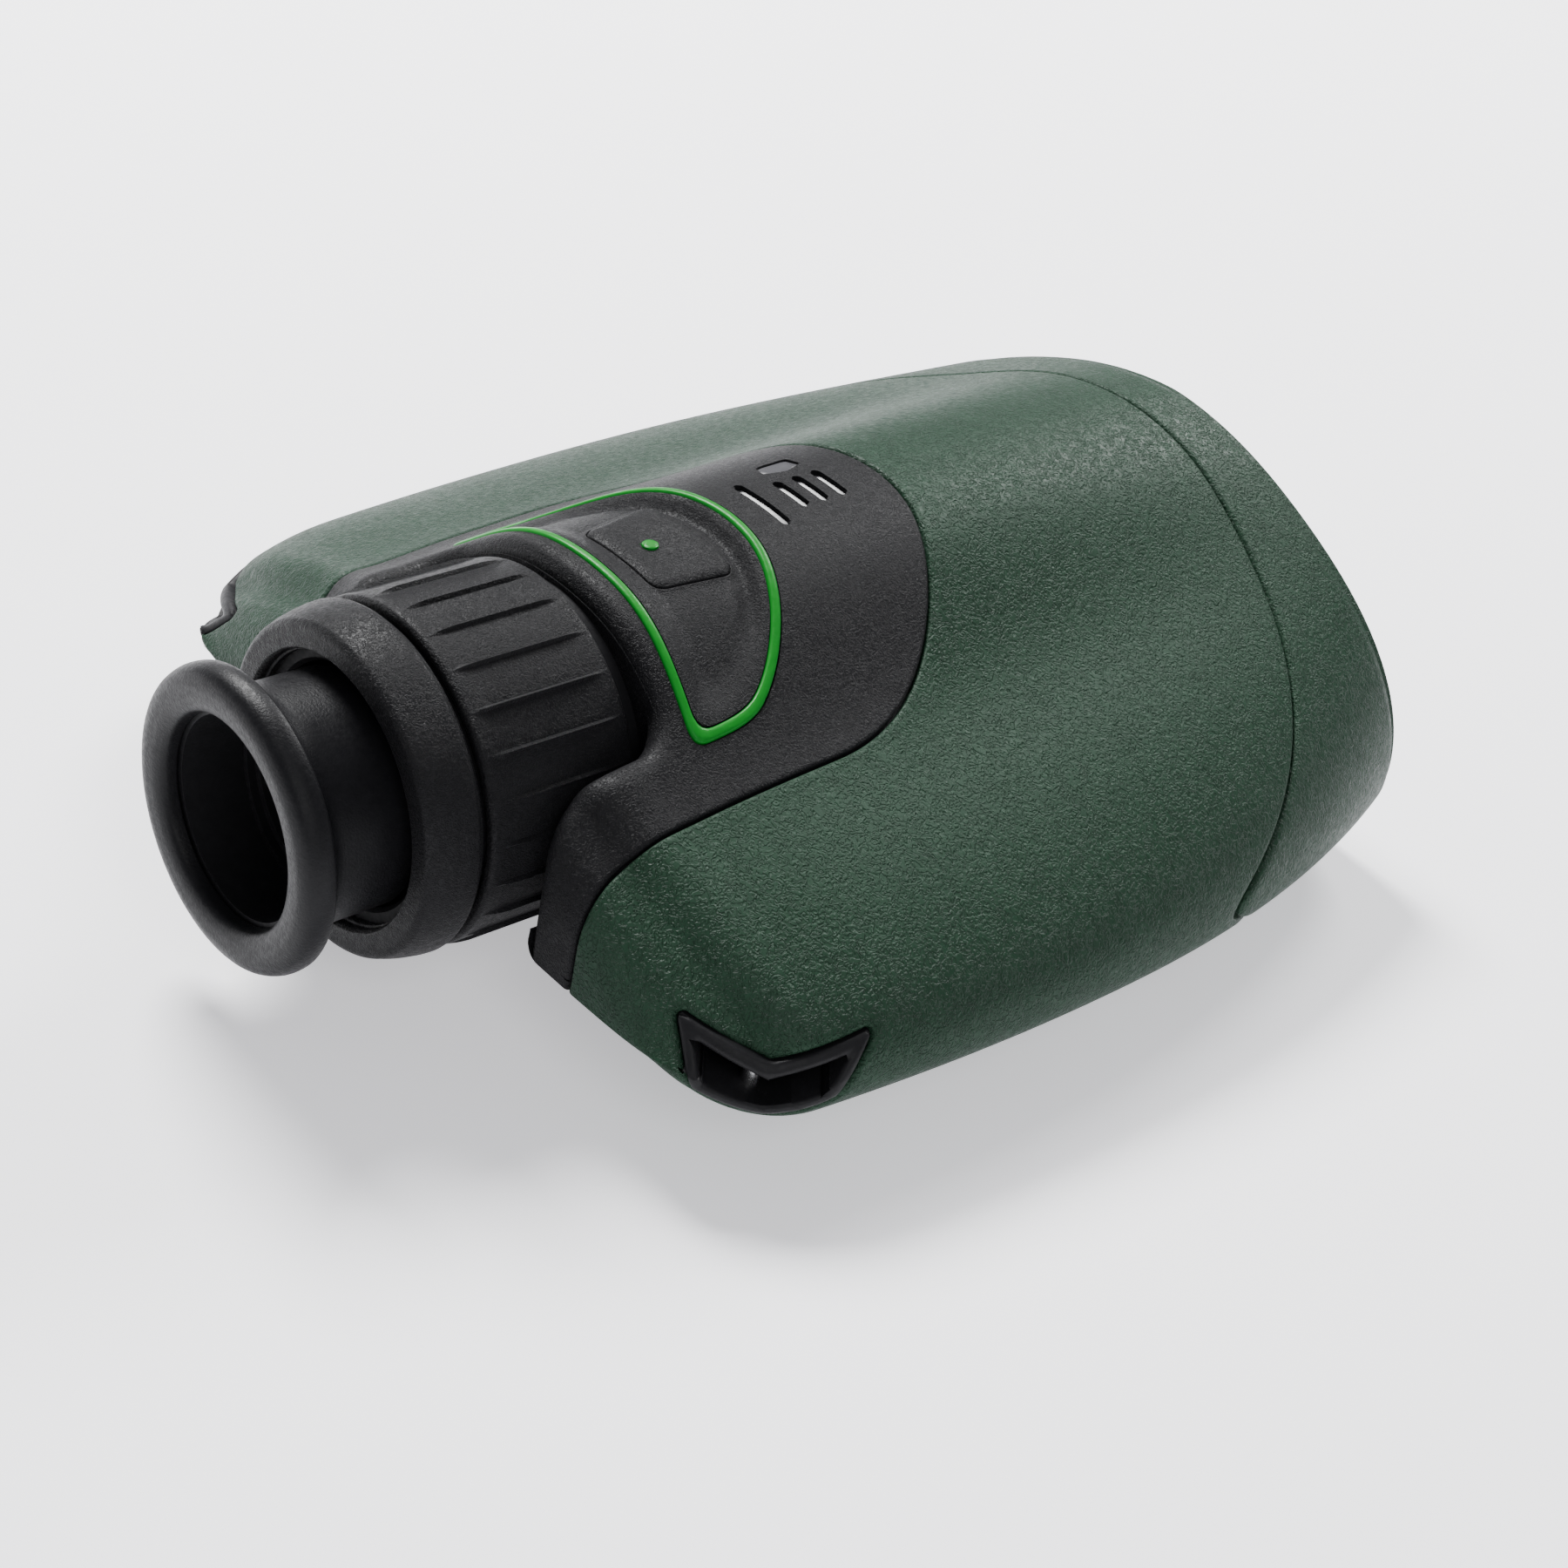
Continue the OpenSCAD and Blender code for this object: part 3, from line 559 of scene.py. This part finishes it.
# ---------------------------------------------------------------- top plate
GROOVE_W, GROOVE_DEEP, SLOT_DEEP, MARKER_DEEP = 0.62, 0.45, 0.8, 0.45
BUTTON_GAP, BUTTON_EDGE_R, DISH_FROM = 0.1, 0.15, 0.6


def ease(t):
    t = np.clip(t, 0, 1)
    return t * t * (3 - 2 * t)


def scoop(p):
    """The finger recess: a dish in the loop, with a crescent ahead of the soft-edged button."""
    f = f_inlay(p) - DISH_FROM
    ahead = ease((p[:, 1] + 27) / 5) * np.exp(-((f - 1.9) / 1.3) ** 2)
    rise = ease((f_button(p) + 0.9) / 1.9)
    return ease(f / 3.4) + 0.8 * ahead - 0.5 * rise


def step_down(f, width=0.08):
    return np.clip(f / width, 0, 1)


def plate_drop(p):
    edges = rounded(f_plate(p), 0.4) + rounded(f_notch(p), 1.8) + rear_fold(p) + scoop(p)
    cuts = (GROOVE_DEEP * step_down(GROOVE_W - np.abs(f_inlay(p))) + SLOT_DEEP * step_down(f_slots(p))
            + MARKER_DEEP * step_down(f_marker(p), 0.1))
    return edges + cuts + rounded(-f_button(p) - BUTTON_GAP, BUTTON_EDGE_R)


def straight_down(p, n):
    """Walls round the button run straight down, so that it can be pressed."""
    return np.where(f_button(p)[:, None] > -1.5, [[0.0, 0.0, 1.0]], n)


crop = whole.copy().keep_near(f_plate, -2.5)
plate = crop.copy()
plate.cut(f_plate, steps(0.0)).cut(f_notch, (0.0, 0.05, 0.15, 0.32, 0.55, 0.85, 1.2, 1.6))
plate.cut(f_inlay, (GROOVE_W, 0.54, -0.54, -GROOVE_W, 1.4, 2.2, 3.0, 3.8), keep=False)
plate.cut(f_slots, (0.08, 0.0, -0.3), keep=False).cut(f_marker, (0.1, 0.0, -0.2), keep=False)
plate.cut(outside(f_button), steps(BUTTON_GAP, 0.35))
plate.cut(outside(f_button), (0.45, 0.75, 1.1), keep=False)
make("plate_cover", shell(plate, plate_drop, 1.1, straight_down), PLATE, "housing",
     ["top_plate"])

# The notch's wall, with the round opening for the eyepiece
WALL_IN, OPENING_R, WALL_THICK = 1.75, 15.5, 1.3
straight = (NOTCH_Y - NOTCH_R) - (REAR_Y + WALL_IN)
bend = NOTCH_R * math.pi / 2
total = 2 * straight + 2 * bend + 2 * (NOTCH_W - NOTCH_R)


def wall(uv):
    """The wall runs in, round a corner, across, and out again; u is the share of that length."""
    s, t = uv[:, 0] * total, uv[:, 1]
    m = np.minimum(s, total - s)
    side = np.where(s < total / 2, 1.0, -1.0)
    ang = np.clip((m - straight) / NOTCH_R, 0, math.pi / 2)
    x = NOTCH_W - NOTCH_R + NOTCH_R * np.cos(ang) - np.clip(m - straight - bend, 0, None)
    y = REAR_Y + WALL_IN + np.clip(m, 0, straight) + NOTCH_R * np.sin(ang)
    top, low = surface_z(x, y, WALL_IN, True), surface_z(x, y, WALL_IN, False)
    return np.stack([side * x, y, low + (top - low) * t], 1)


sides = Sheet(wall, np.linspace(0, 1, 121), np.linspace(0, 1, 33))
sides.cut(lambda p: np.hypot(p[:, 0], p[:, 2] - AXIS_Z) - OPENING_R)
pts, nrm = sides.points()
inward = 1 if ((np.array([0, -46.0, AXIS_Z]) - pts) * nrm).sum() > 0 else -1
make("notch_wall", shell(sides, lambda p: 0 * p[:, 0], WALL_THICK * inward), PLATE, "housing")

# Green loop, button and its dot
loop = crop.copy()
loop.cut(f_inlay, (-0.5, -0.42, -0.3, -0.12, 0.12, 0.3, 0.42))
loop.cut(outside(f_inlay), (-0.5,)).cut(f_notch, (1.0,))


def loop_drop(p):
    return scoop(p) + rounded(0.5 - np.abs(f_inlay(p)), 0.34) - 0.22


make("accent_loop", shell(loop, loop_drop, 0.6), ACCENT, "housing", ["accent_inlay"])


def pad_drop(p):
    middle = ease(1 - np.hypot(p[:, 0] / 6.5, (p[:, 1] + 26) / 5))
    return scoop(p) + rounded(f_button(p), BUTTON_EDGE_R) + 0.25 * middle


pad = crop.copy().cut(f_button, (0.0, 0.05, 0.12, 0.4, 0.7, 1.0, 1.6))
make("button_pad", shell(pad, pad_drop, 0.6, straight_down), PLATE, "button",
     ["measuring_button"])

dot = crop.copy().cut(f_dot, (0.0, 0.06, 0.2, 0.4))
make("button_mark", shell(dot, lambda p: pad_drop(p) - 0.3 + rounded(f_dot(p), 0.25), 0.5),
     ACCENT, "button", ["button_dot"])


def slot_drop(p):
    """Inserts rise towards the front of their own slot."""
    lines = np.array([y for y, _ in SLOTS])
    own = lines[np.abs(p[:, 1][:, None] - lines).argmin(1)]
    return 0.5 + 0.45 * (0.5 - (p[:, 1] - own) / (2 * SLOT_R))


def marker_drop(p):
    return 0.16 + rounded(f_marker(p) - 0.12, 0.1)


strip = crop.copy().cut(f_slots, (0.05, 0.15))
mark = crop.copy().cut(f_marker, (0.12, 0.3))
make("slot_inserts", join(shell(strip, slot_drop, 0.25), shell(mark, marker_drop, 0.4)),
     INSERT, "housing")

# ---------------------------------------------------------------- lanyard corners
RING_W, RING_R, RING_DEEP, RECESS_FLOOR = 1.25, 0.5, 7.2, (-7.6, -6.4)


def lanyard_liner(side, field):
    """A rounded frame whose walls run straight in, and a floor behind it."""
    out, along = (np.append(axis, 0.0) for axis in lanyard_axes(side))
    ring = whole.copy().keep_near(field, -1.5)
    ring.cut(field, steps(0.0)).cut(outside(field), (-RING_W, -1.18, -1.05, -0.85))
    edge = shell(ring, lambda p: rounded(field(p), RING_R) + rounded(RING_W - field(p), RING_R),
                 RING_DEEP, lambda p, n: np.tile(out, (len(p), 1)))
    corner = np.array([side * LANYARD_X, LANYARD_Y, 0.0])
    slab = [corner + out * w + along * t + np.array([0, 0, z])
            for w in RECESS_FLOOR for t, z in chevron(0.98, 0.98)]
    walls = [[k, (k + 1) % 6, (k + 1) % 6 + 6, k + 6] for k in range(6)]
    caps = [[0, 1, 4, 5], [1, 2, 3, 4]]
    faces = walls + [c[::-1] for c in caps] + [[i + 6 for i in c] for c in caps]
    return join(edge, (np.array(slab), [f[::-1] for f in faces] if side < 0 else faces))


for side, field, name in ((1, right, "right"), (-1, left, "left")):
    make("lanyard_liner_" + name, lanyard_liner(side, field), SHELL, "housing",
         ["lanyard_frame_" + name])

# ---------------------------------------------------------------- eyepiece
RIBS, RIB_REAR, RIB_FRONT, RIB_FROM_R = 25, -54.9, -40.6, 17.2
RIB_H, RIB_HALF, RIB_END = 0.42, 0.06, 2.2


def ribs(ang, r, y):
    """Thin raised ribs with tapered ends round the outer side of the ring."""
    phase = (ang * RIBS / (2 * math.pi)) % 1.0
    width = np.clip(1 - np.abs(phase - 0.5) / RIB_HALF, 0, 1)
    ends = np.clip(np.minimum(y - RIB_REAR, RIB_FRONT - y) / RIB_END, 0, 1)
    return np.where(r > RIB_FROM_R, RIB_H * width * width * (3 - 2 * width) * np.sqrt(ends), 0)


collar = filleted([(13.7, -62.3), (13.95, -62.7, 0.1), (16.0, -62.7, 0.25), (16.55, -62.3, 0.5),
                   (17.1, -60.6, 0.6), (17.45, -58.6, 0.6), (17.5, -57.7, 0.2), (17.2, -57.2, 0.2),
                   (16.75, -57.0, 0.1), (16.75, -56.75, 0.1), (16.2, -56.6, 0.1),
                   (15.6, -56.4, 0.1), (15.6, -43.0, 0.1), (14.6, -43.0, 0.1), (14.6, -57.6, 0.1),
                   (12.3, -57.6, 0.1), (12.3, -58.6, 0.1), (13.2, -59.3, 0.1),
                   (13.25, -60.4, 0.1), (13.45, -60.5, 0.1), (13.45, -61.5, 0.1),
                   (13.7, -61.6, 0.1)])
make("eyepiece_bezel", turned(collar, 256), GRIP, "housing", ["eyepiece_collar"])

grip = [(17.35 + 0.15 * k / 22, -55.4 + 15.4 * k / 22, 0.0) for k in range(23)]
ring = filleted([(15.66, -55.7), (16.4, -56.1, 0.1), (17.0, -56.1, 0.3), (17.3, -55.8, 0.3)] + grip
                + [(17.45, -39.7, 0.3), (17.0, -39.3, 0.3), (15.66, -39.3, 0.1)])
make("diopter_grip", turned(ring, RIBS * 36, ribs), GRIP, "diopter",
     ["diopter_ring"], sharp=50)

flare = [(11.75 + 2.6 * (1 - math.cos(math.radians(a))), -68.2 - 2.7 * math.sin(math.radians(a)), 0.0)
         for a in range(0, 81, 8)]
cup = filleted([(11.0, -60.4, 0.1), (11.75, -60.4, 0.3)] + flare
               + [(14.85, -71.1, 0.7), (15.0, -72.4, 0.9), (14.5, -73.7, 0.8),
                  (13.2, -74.25, 0.6), (11.5, -74.1, 0.5), (10.5, -73.6, 0.6),
                  (10.3, -72.3, 0.1), (11.0, -72.3, 0.0)])
make("eyecup_rubber", turned(cup, 224), CUP, "cup", ["eyecup"], sharp=50)

# ---------------------------------------------------------------- setting, in metres
FLOOR_HALF, FLOOR_Z = 3.0, -0.0008
paper = material("paper_floor", (0.93, 0.93, 0.95), 0.85, 40, 0.02, 0.01)
glow = paper.node_tree.nodes["Principled BSDF"]
glow.inputs["Emission Color"].default_value = (0.97, 0.96, 1.0, 1)
glow.inputs["Emission Strength"].default_value = 0.62
data = bpy.data.meshes.new("floor")
data.from_pydata([(sx * FLOOR_HALF, sy * FLOOR_HALF, FLOOR_Z)
                  for sx, sy in ((-1, -1), (1, -1), (1, 1), (-1, 1))], [], [(0, 1, 2, 3)])
data.materials.append(paper)
ground = bpy.data.objects.new("floor", data)
bpy.context.scene.collection.objects.link(ground)

world = bpy.data.worlds.new("studio")
world.use_nodes = True
sky = world.node_tree.nodes["Background"]
sky.inputs["Color"].default_value = (0.93, 0.94, 1.0, 1)
sky.inputs["Strength"].default_value = 0.3
bpy.context.scene.world = world


def lamp(name, place, diameter, power):
    data = bpy.data.lights.new(name, "AREA")
    data.shape = "DISK"
    data.size = diameter
    data.energy = power
    obj = bpy.data.objects.new(name, data)
    obj.location = place
    aim = Vector((0, 0, 0.02)) - Vector(place)
    obj.rotation_euler = aim.to_track_quat("-Z", "Y").to_euler()
    bpy.context.scene.collection.objects.link(obj)


lamp("key", (-0.6, 0.1, 0.75), 0.35, 24)
lamp("back", (-0.25, 0.75, 0.6), 0.35, 9)
lamp("fill", (0.75, -0.4, 0.7), 0.7, 4)

camera = bpy.data.cameras.new("photo_view")
camera.lens = 60
camera.sensor_width = 36
camera.clip_start = 0.01
eye = bpy.data.objects.new("photo_view", camera)
bpy.context.scene.collection.objects.link(eye)
view = Vector((-0.557, 0.618, -0.555)).normalized()
across = Vector((0.651, 0.741, 0.169))
across = (across - view * across.dot(view)).normalized()
upward = across.cross(view)
place = Matrix((across, upward, -view)).transposed().to_4x4()
place.translation = Vector((0.1638, -0.1819, 0.1636))
eye.matrix_world = place
bpy.context.scene.camera = eye
